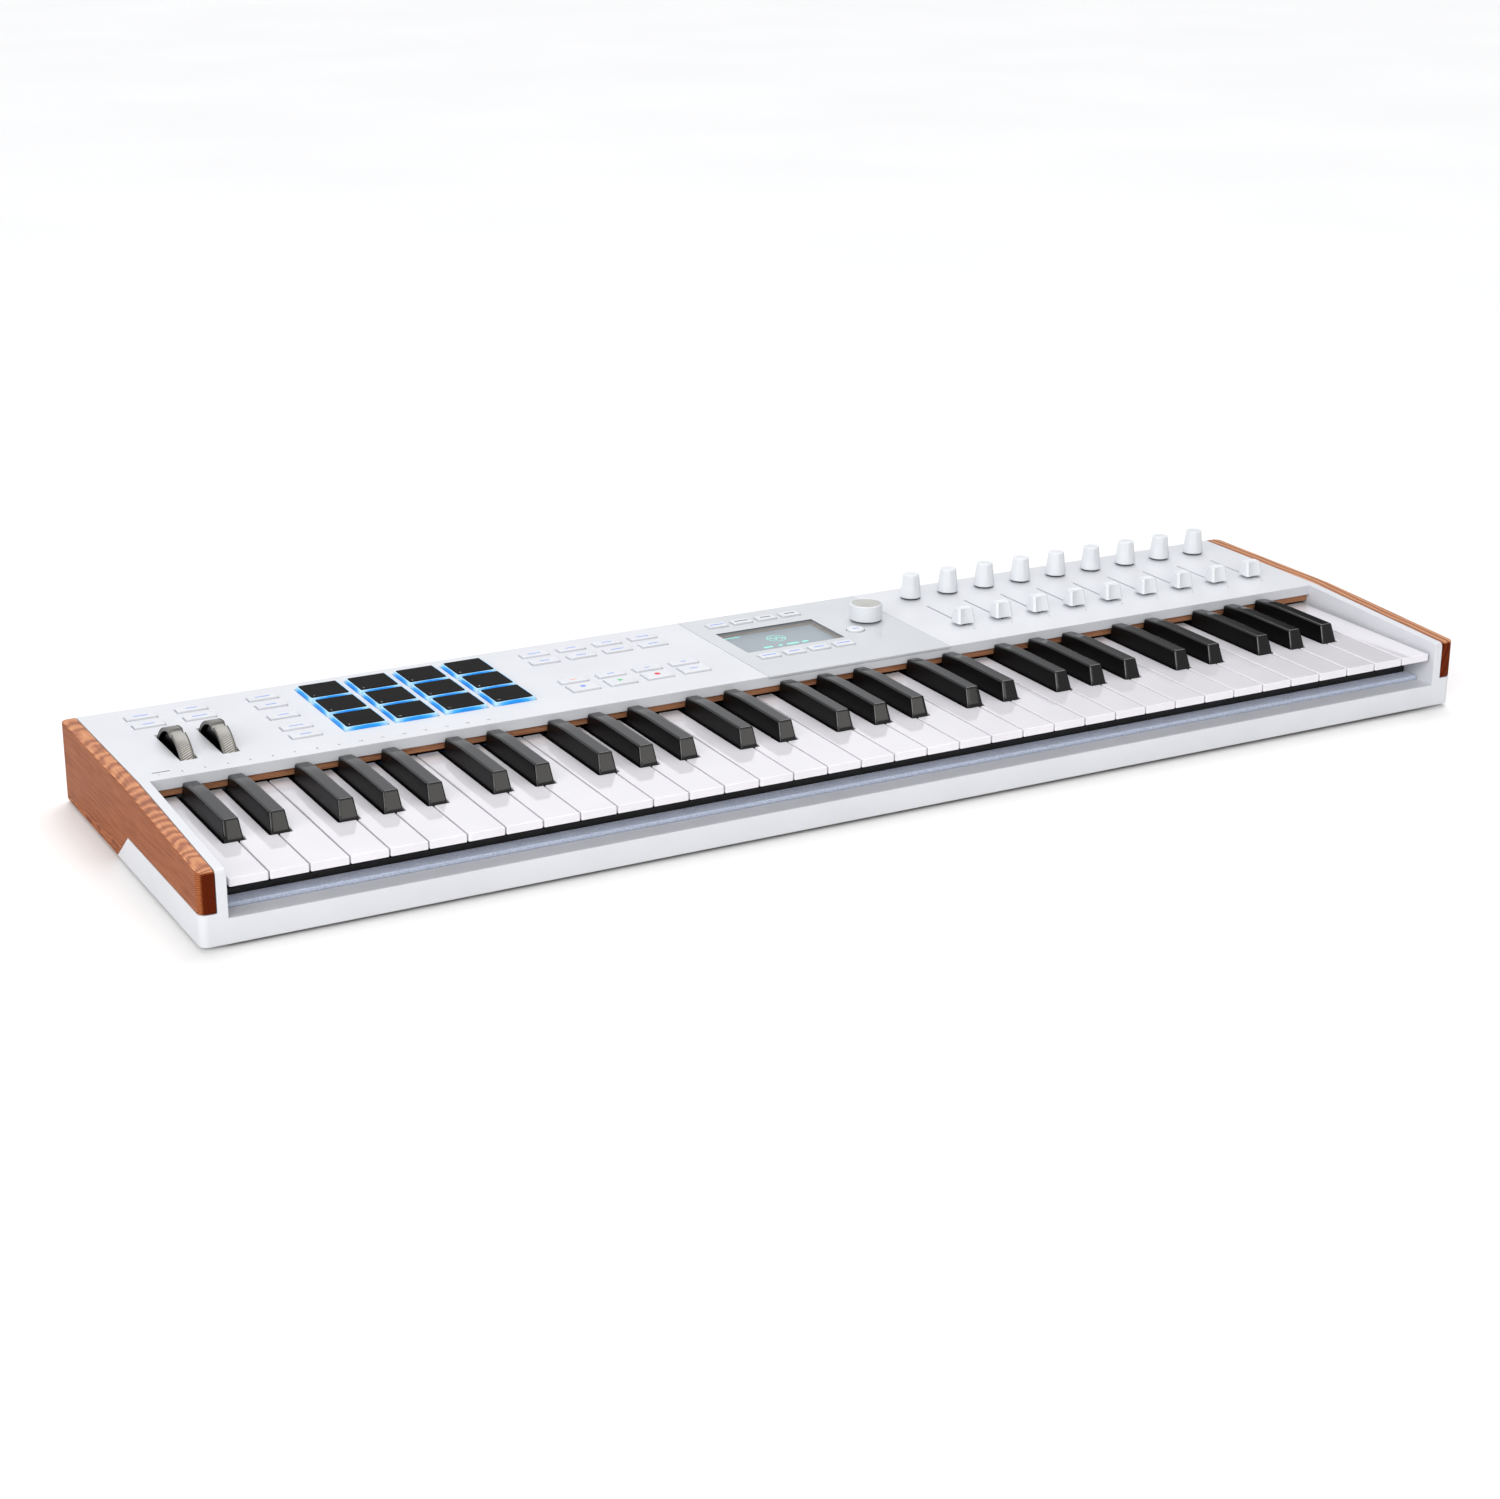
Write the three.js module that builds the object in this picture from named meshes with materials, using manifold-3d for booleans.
// A 61-key controller synthesizer: a white moulded case with wooden cheeks, synth-action keys on comb
// springs, pitch and modulation wheels, pads, a screen behind glass, nine encoders and nine faders.
// Millimetres. +X runs to the player's right, +Y away from the player, +Z up. The origin is the middle
// of the footprint, on the surface that the rubber feet stand on.
import * as THREE from "three";
import { mergeVertices } from "three/addons/utils/BufferGeometryUtils.js";
import Module from "manifold-3d";

const wasm = await Module();
wasm.setup();

// ---- driving dimensions -------------------------------------------------------------------------
const HALF_WIDTH = 441.3;
const HALF_DEPTH = 131;
const FOOT_HEIGHT = 2.5;
const PANEL_TOP = 52.8;
const PANEL_THICK = 3;
const CHEEK_FRONT_TOP = 46.8;
const CHEEK_INNER = 424.9;
const WOOD_INNER = 431.1;
const WOOD_BOTTOM = 21.6;
const LEDGE_TOP = 17.6;
const LEDGE_BACK = -116.5;
const PANEL_FRONT = 2;
const LIP_BOTTOM = 45.9;
const GAP = 0.3;

const WHITE_PITCH = 23.5;
const OCTAVE = 7 * WHITE_PITCH;
const SEMITONE = OCTAVE / 12;
const OCTAVES = 5;
const KEYS_LEFT = -18 * WHITE_PITCH;
const WHITE_GAP = 0.9;
const WHITE_FRONT = -127.6;
const WHITE_BACK = 7;
const WHITE_TOP = 39.2;
const WHITE_THICK = 4.9;
const SHARP_OFFSET = 0.8;
const SHARP_CUTOUT = 13.8;
const SHARP_CUTOUT_FRONT = -77;
const SHARP_BASE_WIDTH = 11.6;
const SHARP_TOP_WIDTH = 9.4;
const SHARP_FRONT = -76.8;
const SHARP_BACK = 1;
const SHARP_TOP = 50.9;
const COMB_BAR = { front: 8.7, back: 21.7, thick: 4, firstZ: 24, rise: 4.7 };

const ROW_A = 112.7;
const ROW_B = 96.3;
const KEYCAP = { width: 18.8, depth: 8.2, top: 54 };
const MAT_BOTTOM = 44.8;
const MAT_TOP = 46.6;
const BOARD = { bottom: 41, top: 42.6, front: 26, back: 126 };
const PAD = { skirt: 28.4, face: 25.4, left: -294.2, front: 30.3, pitchX: 33, pitchY: 30.3, top: 55.3 };

const WHEEL = { radius: 28, width: 9, bore: 2.8, y: 52.35, z: 36.3, xs: [-393.2, -367.15] };
const WHEEL_SLOT = { width: 10.9, front: 26.9, back: 77.8 };
const CHANNELS = { count: 9, firstX: 156, pitch: 30.6 };
const KNOB = { y: 108, base: 7.4, tip: 5.8, bottom: 53.9, top: 70.2, shaft: 2.9 };
const FADER = { y: 40, travel: 43, slotFront: 37, slotBack: 86.5, slotWidth: 1.5, stem: 2.5 };
const FADER_CAP = { width: 13.5, depth: 11.5, topWidth: 11.4, topDepth: 7, bottom: 54.2, top: 64.5 };
const GLASS = { left: -16.1, right: 122, front: 1.8, back: 130, recess: 2 };
const SCREEN = { left: -4.5, right: 69.3, front: 51.5, back: 96.9 };
const ENCODER = { x: 101.8, y: 78, radius: 11.2, bottom: 54, top: 64.9, shaft: 3 };
const BACK_BUTTON = { x: 83.9, y: 61.8, radius: 6 };

const SOCKETS = { front: 113, back: 127.6, bottom: 14, top: 34, z: 24 };
const JACKS = [-252, -228, -204, -180];
const MIDI_SOCKETS = [-316, -284];
const POWER_INLET_X = -362;
const USB_SOCKET_X = -340;
const POWER_SWITCH = { x: -392.5, y: 122, z: 24, radius: 8.8, width: 17 };

// ---- materials ----------------------------------------------------------------------------------
function finish(color, roughness, metalness = 0) {
  return new THREE.MeshStandardMaterial({ color, roughness, metalness, flatShading: true });
}

const WHITE_CASE = finish("#e2e5ea", 0.5);
const GLASS_WHITE = finish("#dcdcdc", 0.1);
const WHITE_KEY = finish("#f3f2f7", 0.2);
const BLACK_KEY = finish("#1b1a1c", 0.15);
const WOOD = finish("#a5633f", 0.55);
const BLACK_PLASTIC = finish("#161616", 0.6);
const FELT = finish("#9aa8c4", 0.95);
const BOARD_GREEN = finish("#1f4d33", 0.6);
const STEEL = finish("#8d8f92", 0.4, 0.9);
const WHEEL_METAL = finish("#a8a6a0", 0.35, 0.8);
const RUBBER = finish("#2a2625", 0.8);
const SCREEN_GLASS = finish("#a9b2ba", 0.2);

// ---- solids -------------------------------------------------------------------------------------
function solid(geometry) {
  const bare = geometry.index ? geometry.toNonIndexed() : geometry;
  bare.deleteAttribute("normal");
  bare.deleteAttribute("uv");
  const merged = mergeVertices(bare, 1e-4);
  const vertProperties = merged.attributes.position.array;
  const triVerts = new Uint32Array(merged.index.array);
  return new wasm.Manifold(new wasm.Mesh({ numProp: 3, vertProperties, triVerts }));
}

function union(solids) {
  return solids.reduce((whole, piece) => whole.add(piece));
}

function box(x0, x1, y0, y1, z0, z1) {
  const geometry = new THREE.BoxGeometry(x1 - x0, y1 - y0, z1 - z0);
  geometry.translate((x0 + x1) / 2, (y0 + y1) / 2, (z0 + z1) / 2);
  return solid(geometry);
}

function post(x, y, radius, z0, z1, sides = 16) {
  const geometry = new THREE.CylinderGeometry(radius, radius, z1 - z0, sides);
  geometry.rotateX(Math.PI / 2);
  geometry.translate(x, y, (z0 + z1) / 2);
  return solid(geometry);
}

function rodAlongY(x, z, radius, y0, y1, sides = 16) {
  const geometry = new THREE.CylinderGeometry(radius, radius, y1 - y0, sides);
  geometry.translate(x, (y0 + y1) / 2, z);
  return solid(geometry);
}

function rodAlongX(y, z, radius, x0, x1, sides = 16) {
  const geometry = new THREE.CylinderGeometry(radius, radius, x1 - x0, sides);
  geometry.rotateZ(Math.PI / 2);
  geometry.translate((x0 + x1) / 2, y, z);
  return solid(geometry);
}

// A side profile given as [y, z] points, carried along X from x0 to x1.
function prismAlongX(points, x0, x1) {
  const shape = new THREE.Shape(points.map(([y, z]) => new THREE.Vector2(y, z)));
  const geometry = new THREE.ExtrudeGeometry(shape, { depth: x1 - x0, bevelEnabled: false });
  geometry.rotateX(Math.PI / 2);
  geometry.rotateZ(Math.PI / 2);
  geometry.translate(x0, 0, 0);
  return solid(geometry);
}

// A front profile given as [x, z] points, carried along Y from y0 to y1.
function prismAlongY(points, y0, y1) {
  const shape = new THREE.Shape(points.map(([x, z]) => new THREE.Vector2(x, z)));
  const geometry = new THREE.ExtrudeGeometry(shape, { depth: y1 - y0, bevelEnabled: false });
  geometry.rotateX(Math.PI / 2);
  geometry.translate(0, y1, 0);
  return solid(geometry);
}

// A round piece about a vertical axis at x, y, from [radius, z] points that start and end on the axis.
function turned(points, x, y, sides = 16) {
  const profile = points.map(([radius, z]) => new THREE.Vector2(radius, z));
  const geometry = new THREE.LatheGeometry(profile, sides);
  geometry.rotateX(Math.PI / 2);
  geometry.translate(x, y, 0);
  return solid(geometry);
}

// The whole footprint with its vertical corners rounded, as a tall block to trim the casings with.
function footprint(radius = 5) {
  const shape = new THREE.Shape();
  shape.moveTo(-HALF_WIDTH + radius, -HALF_DEPTH);
  shape.absarc(HALF_WIDTH - radius, -HALF_DEPTH + radius, radius, -Math.PI / 2, 0);
  shape.absarc(HALF_WIDTH - radius, HALF_DEPTH - radius, radius, 0, Math.PI / 2);
  shape.absarc(-HALF_WIDTH + radius, HALF_DEPTH - radius, radius, Math.PI / 2, Math.PI);
  shape.absarc(-HALF_WIDTH + radius, -HALF_DEPTH + radius, radius, Math.PI, 1.5 * Math.PI);
  const options = { depth: PANEL_TOP + 10, bevelEnabled: false, curveSegments: 5 };
  return solid(new THREE.ExtrudeGeometry(shape, options));
}

function mesh(name, body, material) {
  const made = body.getMesh();
  const geometry = new THREE.BufferGeometry();
  const positions = new Float32Array(made.numVert * 3);
  for (let i = 0; i < made.numVert; i++) {
    positions.set(made.vertProperties.subarray(i * made.numProp, i * made.numProp + 3), i * 3);
  }
  geometry.setAttribute("position", new THREE.BufferAttribute(positions, 3));
  geometry.setIndex(new THREE.BufferAttribute(made.triVerts, 1));
  const result = new THREE.Mesh(geometry, material);
  result.name = name;
  return result;
}

// ---- keycap layouts, each cap as { x, y, width, depth } about its middle ----------------------------
function cap(left, y, width = KEYCAP.width, depth = KEYCAP.depth) {
  return { x: left + width / 2, y, width, depth };
}

function grid(lefts, ys, width, depth) {
  return ys.flatMap((y) => lefts.map((left) => cap(left, y, width, depth)));
}

const LEFT_CAPS = grid([-405.8, -373.6], [ROW_A, ROW_B], 19.2);
const MODE_CAPS = grid([-327.3], [ROW_A, ROW_B, 74.2, 51.6, 35]);
const DAW_LEFTS = [0, 1, 2, 3].map((column) => -140.6 + 26.4 * column);
const TRANSPORT_CAPS = grid(DAW_LEFTS, [37.75], KEYCAP.width, 13.5);
const DAW_CAPS = [...grid(DAW_LEFTS, [ROW_A, ROW_B, 52.5]), ...TRANSPORT_CAPS];
const SCREEN_LEFTS = [0, 1, 2, 3].map((column) => -2.4 + 18.8 * column);
const SCREEN_CAPS = grid(SCREEN_LEFTS, [ROW_A, 38.9], 14, 8.4);
const PAD_CAPS = [0, 1, 2].flatMap((row) => [0, 1, 2, 3].map((column) => ({
  x: PAD.left + PAD.skirt / 2 + column * PAD.pitchX,
  y: PAD.front + PAD.skirt / 2 + row * PAD.pitchY,
  width: PAD.skirt,
  depth: PAD.skirt,
})));
const CHANNEL_XS = Array.from({ length: CHANNELS.count }, (_, i) => CHANNELS.firstX + i * CHANNELS.pitch);

function capBox({ x, y, width, depth }, z0, z1, clearance = 0) {
  const halfWidth = width / 2 + clearance;
  const halfDepth = depth / 2 + clearance;
  return box(x - halfWidth, x + halfWidth, y - halfDepth, y + halfDepth, z0, z1);
}

// ---- casings ------------------------------------------------------------------------------------
// The cheek's side outline: a rounded front top corner, a gentle rise beside the keys, then flat.
function cheekOutline(bottom) {
  const radius = 3;
  const points = [[-HALF_DEPTH, bottom]];
  for (let step = 0; step <= 3; step++) {
    const angle = (step / 3) * (Math.PI / 2);
    const y = -HALF_DEPTH + radius * (1 - Math.cos(angle));
    points.push([y, CHEEK_FRONT_TOP - radius * (1 - Math.sin(angle))]);
  }
  points.push([PANEL_FRONT, PANEL_TOP], [HALF_DEPTH, PANEL_TOP]);
  return points;
}

function upperCase() {
  const floor = FOOT_HEIGHT;
  const cheek = [...cheekOutline(floor), [HALF_DEPTH, floor]];
  const skirt = [[-HALF_DEPTH, floor], [-HALF_DEPTH, WOOD_BOTTOM], [-1, WOOD_BOTTOM], [23, floor]];
  const underside = PANEL_TOP - PANEL_THICK;
  const pieces = [
    prismAlongX(cheek, CHEEK_INNER, WOOD_INNER),
    prismAlongX(cheek, -WOOD_INNER, -CHEEK_INNER),
    prismAlongX(skirt, WOOD_INNER - 1, HALF_WIDTH),
    prismAlongX(skirt, -HALF_WIDTH, -WOOD_INNER + 1),
    box(-CHEEK_INNER - 1, CHEEK_INNER + 1, -HALF_DEPTH, -HALF_DEPTH + 3, floor, LEDGE_TOP),
    box(-CHEEK_INNER - 1, CHEEK_INNER + 1, -HALF_DEPTH, LEDGE_BACK, LEDGE_TOP - 3, LEDGE_TOP),
    box(-CHEEK_INNER - 1, CHEEK_INNER + 1, PANEL_FRONT, HALF_DEPTH, underside, PANEL_TOP),
    box(-CHEEK_INNER - 1, CHEEK_INNER + 1, PANEL_FRONT, PANEL_FRONT + 2, LIP_BOTTOM, PANEL_TOP),
    box(-CHEEK_INNER - 1, CHEEK_INNER + 1, HALF_DEPTH - 3, HALF_DEPTH, floor, PANEL_TOP),
  ];
  for (const x of [-420, -345, -150, -30, 135, 420]) {
    pieces.push(box(x - 2, x + 2, 90, 94, BOARD.top + GAP, underside + 1));
  }
  return union(pieces).intersect(footprint()).subtract(panelOpenings()).subtract(rearOpenings());
}

function panelOpenings() {
  const low = PANEL_TOP - PANEL_THICK - 1;
  const high = PANEL_TOP + 1;
  const slot = WHEEL_SLOT;
  const cuts = [];
  for (const each of [...LEFT_CAPS, ...MODE_CAPS, ...DAW_CAPS, ...SCREEN_CAPS, ...PAD_CAPS]) {
    cuts.push(capBox(each, low, high, 0.4));
  }
  for (const x of WHEEL.xs) {
    cuts.push(box(x - slot.width / 2, x + slot.width / 2, slot.front, slot.back, low, high));
  }
  const halfSlot = FADER.slotWidth / 2;
  for (const x of CHANNEL_XS) {
    cuts.push(post(x, KNOB.y, KNOB.shaft + 0.5, low, high, 10));
    cuts.push(box(x - halfSlot, x + halfSlot, FADER.slotFront, FADER.slotBack, low, high));
  }
  cuts.push(box(GLASS.left, GLASS.right, GLASS.front - 1, GLASS.back, PANEL_TOP - GLASS.recess, high));
  cuts.push(box(SCREEN.left, SCREEN.right, SCREEN.front, SCREEN.back, low, high));
  cuts.push(post(ENCODER.x, ENCODER.y, ENCODER.shaft + 0.5, low, high, 12));
  cuts.push(post(BACK_BUTTON.x, BACK_BUTTON.y, BACK_BUTTON.radius + 0.4, low, high));
  return union(cuts);
}

function rearOpenings() {
  const inner = HALF_DEPTH - 4;
  const outer = HALF_DEPTH + 1;
  const z = SOCKETS.z;
  const cuts = [
    ...JACKS.map((x) => rodAlongY(x, z, 5.9, inner, outer, 12)),
    ...MIDI_SOCKETS.map((x) => rodAlongY(x, z, 9.4, inner, outer)),
    rodAlongY(POWER_INLET_X, z, 5.4, inner, outer),
    box(USB_SOCKET_X - 5.9, USB_SOCKET_X + 5.9, inner, outer, z - 3, z + 3),
    box(POWER_SWITCH.x - 8.9, POWER_SWITCH.x + 8.9, inner, outer, z - 6.9, z + 6.9),
    box(-121, -114, inner, outer, z - 1.6, z + 1.6),
  ];
  return union(cuts);
}

function woodCheek(side) {
  const bottom = WOOD_BOTTOM + GAP;
  const outline = [...cheekOutline(bottom), [HALF_DEPTH, FOOT_HEIGHT], [23.5, FOOT_HEIGHT], [-0.8, bottom]];
  const inner = WOOD_INNER + GAP;
  const [x0, x1] = side > 0 ? [inner, HALF_WIDTH] : [-HALF_WIDTH, -inner];
  return prismAlongX(outline, x0, x1).intersect(footprint());
}

function woodStrip() {
  const reach = CHEEK_INNER - GAP;
  const face = box(-reach, reach, 4.3, 8.3, 41, LIP_BOTTOM - GAP);
  const flange = box(-reach, reach, 7, 13, 43.6, LIP_BOTTOM - GAP);
  return face.add(flange);
}

function bottomPlate() {
  const reach = CHEEK_INNER - GAP;
  const depth = HALF_DEPTH - 3 - GAP;
  const pieces = [box(-reach, reach, -depth, depth, FOOT_HEIGHT, 4)];
  for (const x of [-300, -100, 100, 300]) {
    pieces.push(box(x - 3, x + 3, -93, -87, 3, 5.7));
    pieces.push(box(x - 3, x + 3, 12, 18, 3, 5.7));
  }
  for (const x of [-60, 60]) {
    pieces.push(box(x - 3, x + 3, 47, 53, 3, 7.7), box(x - 3, x + 3, 97, 103, 3, 7.7));
  }
  return union(pieces);
}

function foot(x, y) {
  return turned([[0, 0], [8, 0], [9, 1], [9, FOOT_HEIGHT - GAP], [0, FOOT_HEIGHT - GAP]], x, y, 14);
}

// ---- keybed -------------------------------------------------------------------------------------
function keybedChassis() {
  const reach = CHEEK_INNER - 0.9;
  const pieces = [
    box(-reach, reach, -103, 23.4, 6, 8.5),
    box(-reach, reach, -103, -100, 8, 23),
    box(-reach, reach, -116, -102, 13.8, 16.5),
    box(-reach, reach, -50, -30, 8, 19.7),
    box(-reach, reach, 8.7, 21.7, 8, 23.3),
    box(-412, -348, 22, 84, 6, 7.9),
    rodAlongX(WHEEL.y, WHEEL.z, WHEEL.bore - 0.35, -405, -355.4),
  ];
  for (const [x0, x1] of [[-406, -402], [-382.2, -378.2], [-358.4, -354.4]]) {
    pieces.push(box(x0, x1, 45, 60, 7, 40.6));
  }
  return union(pieces);
}

function feltStrip() {
  const reach = CHEEK_INNER - GAP;
  return box(-reach, reach, -115.5, -104, 16.8, 19.8);
}

function contactBoard() {
  const reach = CHEEK_INNER - 3;
  return box(-reach, reach, -55, -25, 20, 21.6).add(box(-reach, reach, -43, -37, 21.4, 28.4));
}

function sharpCentre(semitone) {
  return SEMITONE * (semitone + 0.5) + SHARP_OFFSET;
}

// One white key: the full-width front, then the narrower stretch between its sharps. Both are read
// from the octave's left edge; the tail is what the comb's web hangs from.
function whiteKeySpan(index) {
  const left = index * WHITE_PITCH + WHITE_GAP / 2;
  const right = (index + 1) * WHITE_PITCH - WHITE_GAP / 2;
  const sharpOnRight = { 0: 1, 1: 3, 3: 6, 4: 8, 5: 10 }[index];
  const sharpOnLeft = { 1: 1, 2: 3, 4: 6, 5: 8, 6: 10 }[index];
  const tailLeft = sharpOnLeft ? sharpCentre(sharpOnLeft) + SHARP_CUTOUT / 2 : left;
  const tailRight = sharpOnRight ? sharpCentre(sharpOnRight) - SHARP_CUTOUT / 2 : right;
  return { left, right, tailLeft, tailRight };
}

function combWeb(x0, x1, level) {
  const bottom = COMB_BAR.firstZ + level * COMB_BAR.rise;
  const web = box(x0, x1, 3, WHITE_BACK, bottom, WHITE_TOP - WHITE_THICK + 1);
  return web.add(box(x0, x1, 3, COMB_BAR.front + 1, bottom, bottom + COMB_BAR.thick));
}

function combBar(x0, x1, level) {
  const bottom = COMB_BAR.firstZ + level * COMB_BAR.rise;
  return box(x0, x1, COMB_BAR.front, COMB_BAR.back, bottom, bottom + COMB_BAR.thick);
}

function whiteComb(octave, indices, level) {
  const origin = KEYS_LEFT + octave * OCTAVE;
  const bottom = WHITE_TOP - WHITE_THICK;
  const pieces = [];
  const spans = indices.map(whiteKeySpan);
  for (const { left, right, tailLeft, tailRight } of spans) {
    const x = [left, right, tailLeft, tailRight].map((value) => origin + value);
    pieces.push(box(x[0], x[1], WHITE_FRONT, SHARP_CUTOUT_FRONT, bottom, WHITE_TOP));
    pieces.push(box(x[2], x[3], SHARP_CUTOUT_FRONT - 1, WHITE_BACK, bottom, WHITE_TOP));
    pieces.push(combWeb(x[2], x[3], level));
  }
  const first = origin + spans[0].tailLeft;
  const last = origin + spans[spans.length - 1].tailRight;
  pieces.push(combBar(first, last, level));
  return union(pieces);
}

// One sharp: a sloping front, a flat top that falls away at the back, and drafted sides.
function sharpKey(x) {
  const bottom = WHITE_TOP - WHITE_THICK;
  const profile = [
    [SHARP_FRONT, bottom],
    [-75.6, WHITE_TOP],
    [-71.6, SHARP_TOP - 1],
    [-70, SHARP_TOP],
    [-23, SHARP_TOP],
    [SHARP_BACK, SHARP_TOP - 2],
    [SHARP_BACK, bottom],
  ];
  const wide = SHARP_BASE_WIDTH / 2;
  const narrow = SHARP_TOP_WIDTH / 2;
  const ends = [[x - wide, bottom], [x + wide, bottom], [x + wide, WHITE_TOP], [x + narrow, SHARP_TOP]];
  ends.push([x - narrow, SHARP_TOP], [x - wide, WHITE_TOP]);
  const side = prismAlongX(profile, x - wide, x + wide);
  return side.intersect(prismAlongY(ends, SHARP_FRONT - 1, SHARP_BACK + 1));
}

function sharpComb(octave) {
  const origin = KEYS_LEFT + octave * OCTAVE;
  const level = 2;
  const half = 5;
  const pieces = [];
  const centres = [1, 3, 6, 8, 10].map((semitone) => origin + sharpCentre(semitone));
  for (const x of centres) {
    pieces.push(sharpKey(x));
    pieces.push(box(x - half, x + half, 0, WHITE_BACK, WHITE_TOP - WHITE_THICK, WHITE_TOP - 0.3));
    pieces.push(combWeb(x - half, x + half, level));
  }
  pieces.push(combBar(centres[0] - half, centres[4] + half, level));
  return union(pieces);
}

// ---- wheels -------------------------------------------------------------------------------------
// A rim, a thin web and a hub turned about the axle, with a thumb groove across the top of the rim.
function wheel(x) {
  const { radius: outer, width, bore } = WHEEL;
  const half = width / 2;
  const hub = 7;
  const rim = outer - 5;
  const web = 1.5;
  const right = [[bore, half], [hub, half], [hub, web], [rim, web], [rim, half], [outer, half]];
  const left = right.map(([radius, along]) => [radius, -along]).reverse();
  const closed = [...left, ...right, left[0]].reverse();
  const profile = closed.map(([radius, along]) => new THREE.Vector2(radius, along));
  const geometry = new THREE.LatheGeometry(profile, 24);
  geometry.rotateZ(Math.PI / 2);
  geometry.translate(x, WHEEL.y, WHEEL.z);
  const grooveZ = WHEEL.z + outer + 2.4;
  const groove = rodAlongX(WHEEL.y - 4, grooveZ, 4, x - half - 1, x + half + 1, 12);
  return solid(geometry).subtract(groove);
}

// ---- keypads: one flexible mat each, its caps standing up through the panel ------------------------
function matUnder(caps, margin = 2) {
  const x0 = Math.min(...caps.map((each) => each.x - each.width / 2)) - margin;
  const x1 = Math.max(...caps.map((each) => each.x + each.width / 2)) + margin;
  const y0 = Math.min(...caps.map((each) => each.y - each.depth / 2)) - margin;
  const y1 = Math.max(...caps.map((each) => each.y + each.depth / 2)) + margin;
  return box(x0, x1, y0, y1, MAT_BOTTOM, MAT_TOP);
}

function keypad(caps) {
  return union([matUnder(caps), ...caps.map((each) => capBox(each, MAT_TOP - 1, KEYCAP.top))]);
}

function pad({ x, y }) {
  const half = PAD.skirt / 2;
  const face = PAD.face / 2;
  const shoulder = PANEL_TOP + 0.4;
  const ends = [[-half, MAT_TOP - 1], [half, MAT_TOP - 1], [half, shoulder], [face, PAD.top]];
  ends.push([-face, PAD.top], [-half, shoulder]);
  const across = prismAlongY(ends.map(([u, z]) => [x + u, z]), y - half, y + half);
  return across.intersect(prismAlongX(ends.map(([u, z]) => [y + u, z]), x - half, x + half));
}

function padMat() {
  return union([matUnder(PAD_CAPS), ...PAD_CAPS.map(pad)]);
}

function screenButtonPad() {
  const round = post(BACK_BUTTON.x, BACK_BUTTON.y, BACK_BUTTON.radius, MAT_TOP - 1, KEYCAP.top, 20);
  const caps = SCREEN_CAPS.map((each) => capBox(each, MAT_TOP - 1, KEYCAP.top));
  const mat = box(-13, 92, 32, 119, MAT_BOTTOM, MAT_TOP);
  const displayWell = box(-8.6, 73.4, 47.4, 101, MAT_BOTTOM - 1, MAT_TOP + 1);
  return union([mat.subtract(displayWell), round, ...caps]);
}

// ---- screen, encoders and faders --------------------------------------------------------------------
function centreGlass() {
  const low = PANEL_TOP - GLASS.recess + GAP;
  let plate = box(GLASS.left + GAP, GLASS.right - GAP, PANEL_FRONT, GLASS.back - GAP, low, PANEL_TOP);
  for (const each of SCREEN_CAPS) {
    plate = plate.subtract(capBox(each, low - 1, PANEL_TOP + 1, 0.4));
  }
  plate = plate.subtract(post(ENCODER.x, ENCODER.y, ENCODER.shaft + 0.5, low - 1, PANEL_TOP + 1));
  const round = post(BACK_BUTTON.x, BACK_BUTTON.y, BACK_BUTTON.radius + 0.4, low - 1, PANEL_TOP + 1, 20);
  return plate.subtract(round);
}

function displayModule() {
  return box(-8.3, 73.1, 47.7, 100.7, 44, PANEL_TOP - PANEL_THICK - GAP);
}

function channelKnob(x) {
  const { y, base, tip, bottom, top, shaft } = KNOB;
  const profile = [[0, 44], [shaft, 44], [shaft, bottom], [base - 0.4, bottom], [base, bottom + 0.6]];
  profile.push([tip, top - 1], [tip - 1, top], [0, top]);
  return turned(profile, x, y, 12);
}

function faderCap(x) {
  const { width, depth, topWidth, topDepth, bottom, top } = FADER_CAP;
  const across = [[-width, bottom], [width, bottom], [topWidth, top], [-topWidth, top]];
  const along = [[-depth, bottom], [depth, bottom], [topDepth, top], [-topDepth, top]];
  const front = prismAlongY(across.map(([u, z]) => [x + u / 2, z]), FADER.y - depth, FADER.y + depth);
  const side = prismAlongX(along.map(([u, z]) => [FADER.y + u / 2, z]), x - width, x + width);
  const stem = box(x - 0.4, x + 0.4, FADER.y - FADER.stem, FADER.y + FADER.stem, 45, bottom + 1);
  return front.intersect(side).add(stem);
}

function encoderShaft() {
  const { x, y, shaft } = ENCODER;
  return post(x, y, shaft, 43.8, 61, 12);
}

function encoderKnob() {
  const { x, y, radius, bottom, top, shaft } = ENCODER;
  const profile = [[0, bottom], [radius, bottom], [radius, top - 0.8], [radius - 0.8, top], [0, top]];
  return turned(profile, x, y, 24).subtract(post(x, y, shaft + 0.4, bottom - 1, 61.4, 12));
}

// ---- electronics --------------------------------------------------------------------------------
// The control board hangs under the panel, with the encoders' and faders' bodies soldered on it.
function controlBoard() {
  const reach = CHEEK_INNER - 3.9;
  const pieces = [box(-reach, reach, BOARD.front, BOARD.back, BOARD.bottom, BOARD.top)];
  for (const x of CHANNEL_XS) {
    pieces.push(box(x - 6, x + 6, KNOB.y - 6, KNOB.y + 6, BOARD.top - 0.5, 43.6));
    pieces.push(box(x - 4, x + 4, 32, 91, BOARD.top - 0.5, 47));
  }
  let board = union(pieces);
  for (const x of CHANNEL_XS) {
    board = board.subtract(box(x - 0.8, x + 0.8, 36.5, 87, 44.6, 48));
  }
  return board.subtract(box(-413, -347, 20, 84.5, 40, 48));
}

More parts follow.
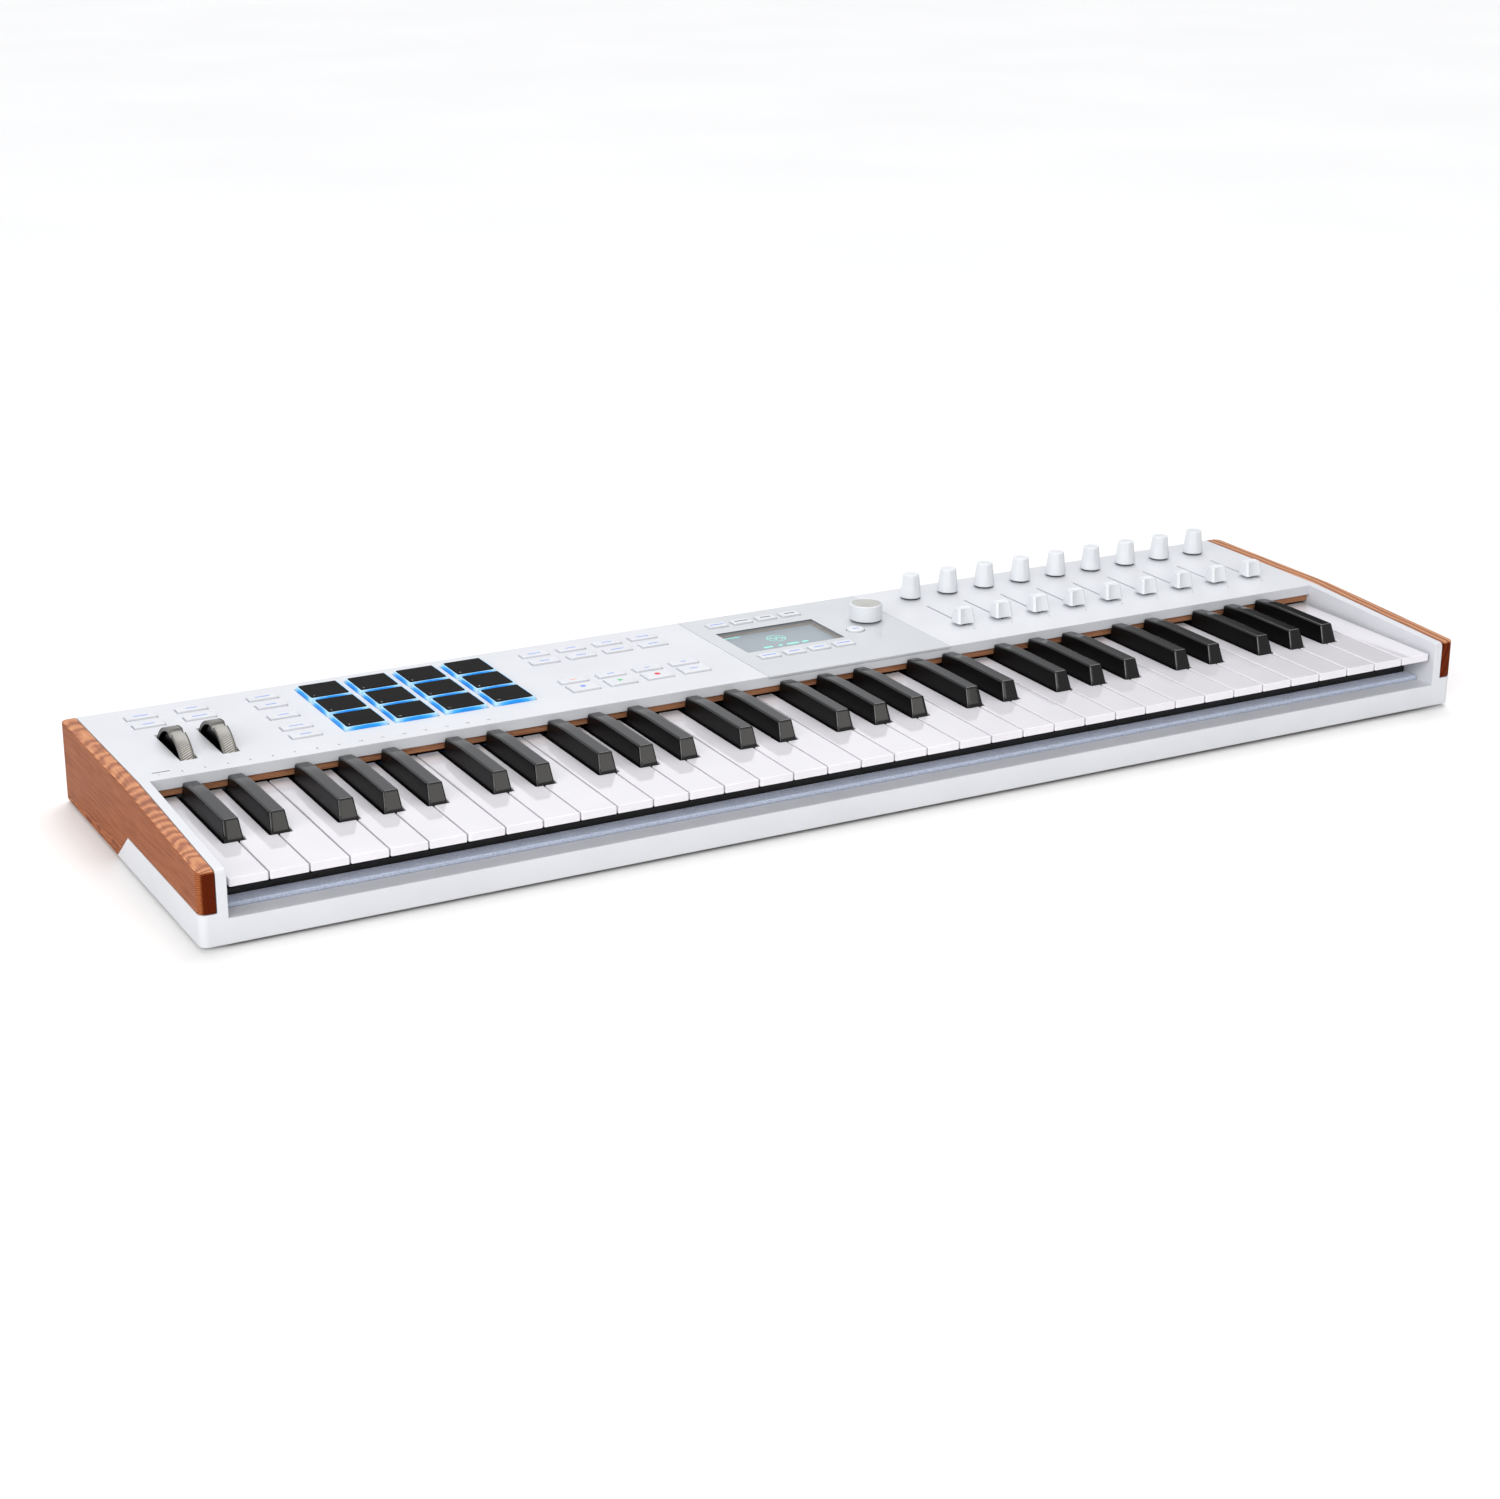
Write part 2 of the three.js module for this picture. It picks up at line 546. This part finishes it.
function mainBoard() {
  const chips = [[-40, 60, 14], [20, 85, 9], [70, 62, 11]];
  const pieces = [box(-90, 110, 40, 108, 8, 9.6)];
  for (const [x, y, half] of chips) {
    pieces.push(box(x - half, x + half, y - half, y + half, 9, 11.4));
  }
  return union(pieces);
}

// ---- rear sockets -------------------------------------------------------------------------------
// One carrier holds every socket body. Each nose stands into its hole in the rear wall.
function socketCarrier() {
  const { front, back, bottom, top, z } = SOCKETS;
  const face = HALF_DEPTH - 0.6;
  const noses = [
    ...JACKS.map((x) => rodAlongY(x, z, 5.5, back - 1, face, 12)),
    ...MIDI_SOCKETS.map((x) => rodAlongY(x, z, 9, back - 1, face)),
    rodAlongY(POWER_INLET_X, z, 5, back - 1, face),
    box(USB_SOCKET_X - 5.5, USB_SOCKET_X + 5.5, back - 1, face, z - 2.6, z + 2.6),
  ];
  const bores = [
    ...JACKS.map((x) => rodAlongY(x, z, 3.3, front + 2, HALF_DEPTH, 12)),
    ...MIDI_SOCKETS.map((x) => rodAlongY(x, z, 6.8, HALF_DEPTH - 9, HALF_DEPTH)),
    rodAlongY(POWER_INLET_X, z, 3.2, HALF_DEPTH - 10, HALF_DEPTH),
    box(USB_SOCKET_X - 4.6, USB_SOCKET_X + 4.6, HALF_DEPTH - 8, HALF_DEPTH, z - 1.7, z + 1.7),
    box(POWER_SWITCH.x - 8.9, POWER_SWITCH.x + 8.9, front - 1, HALF_DEPTH, z - 9.4, z + 9.2),
  ];
  const block = box(-408, -166, front, back, bottom, top + 2);
  return union([block, ...noses]).subtract(union(bores));
}

// A rocker that is round about its own axle, with a shallow V across its face.
function powerSwitch() {
  const { x, y, z, radius, width } = POWER_SWITCH;
  const body = rodAlongX(y, z, radius, x - width / 2, x + width / 2, 24);
  const notch = prismAlongX([[y + 12, z + 2], [y + 12, z - 9], [y + 6.2, z - 1.2]], x - 9, x + 9);
  return body.subtract(notch);
}

// ---- assembly -----------------------------------------------------------------------------------
const instrument = new THREE.Group();

function place(name, body, material) {
  instrument.add(mesh(name, body, material));
}

place("upper_case", upperCase(), WHITE_CASE);
place("bottom_plate", bottomPlate(), STEEL);
place("wood_cheek_left", woodCheek(-1), WOOD);
place("wood_cheek_right", woodCheek(1), WOOD);
place("wood_strip", woodStrip(), WOOD);
place("rubber_foot_front_left", foot(-390, -100), RUBBER);
place("rubber_foot_front_right", foot(390, -100), RUBBER);
place("rubber_foot_rear_left", foot(-390, 100), RUBBER);
place("rubber_foot_rear_right", foot(390, 100), RUBBER);

place("keybed_chassis", keybedChassis(), BLACK_PLASTIC);
place("felt_strip", feltStrip(), FELT);
place("key_contact_board", contactBoard(), BOARD_GREEN);
for (let octave = 0; octave < OCTAVES; octave++) {
  const outer = octave === OCTAVES - 1 ? [0, 2, 4, 6, 7] : [0, 2, 4, 6];
  place(`white_keys_ceg_octave_${octave + 1}`, whiteComb(octave, outer, 0), WHITE_KEY);
  place(`white_keys_dfa_octave_${octave + 1}`, whiteComb(octave, [1, 3, 5], 1), WHITE_KEY);
  place(`sharp_keys_octave_${octave + 1}`, sharpComb(octave), BLACK_KEY);
}

place("pitch_wheel", wheel(WHEEL.xs[0]), WHEEL_METAL);
place("modulation_wheel", wheel(WHEEL.xs[1]), WHEEL_METAL);
place("left_button_pad", keypad(LEFT_CAPS), WHITE_CASE);
place("mode_button_pad", keypad(MODE_CAPS), WHITE_CASE);
place("transport_button_pad", keypad(DAW_CAPS), WHITE_CASE);
place("screen_button_pad", screenButtonPad(), WHITE_CASE);
place("pad_mat", padMat(), RUBBER);

place("centre_glass", centreGlass(), GLASS_WHITE);
place("display_module", displayModule(), SCREEN_GLASS);
place("encoder_shaft", encoderShaft(), STEEL);
place("encoder_knob", encoderKnob(), STEEL);
CHANNEL_XS.forEach((x, i) => {
  place(`channel_knob_${i + 1}`, channelKnob(x), WHITE_CASE);
  place(`fader_cap_${i + 1}`, faderCap(x), WHITE_CASE);
});

place("control_board", controlBoard(), BOARD_GREEN);
place("main_board", mainBoard(), BOARD_GREEN);
place("socket_carrier", socketCarrier(), BLACK_PLASTIC);
place("power_switch", powerSwitch(), BLACK_PLASTIC);

export default instrument;
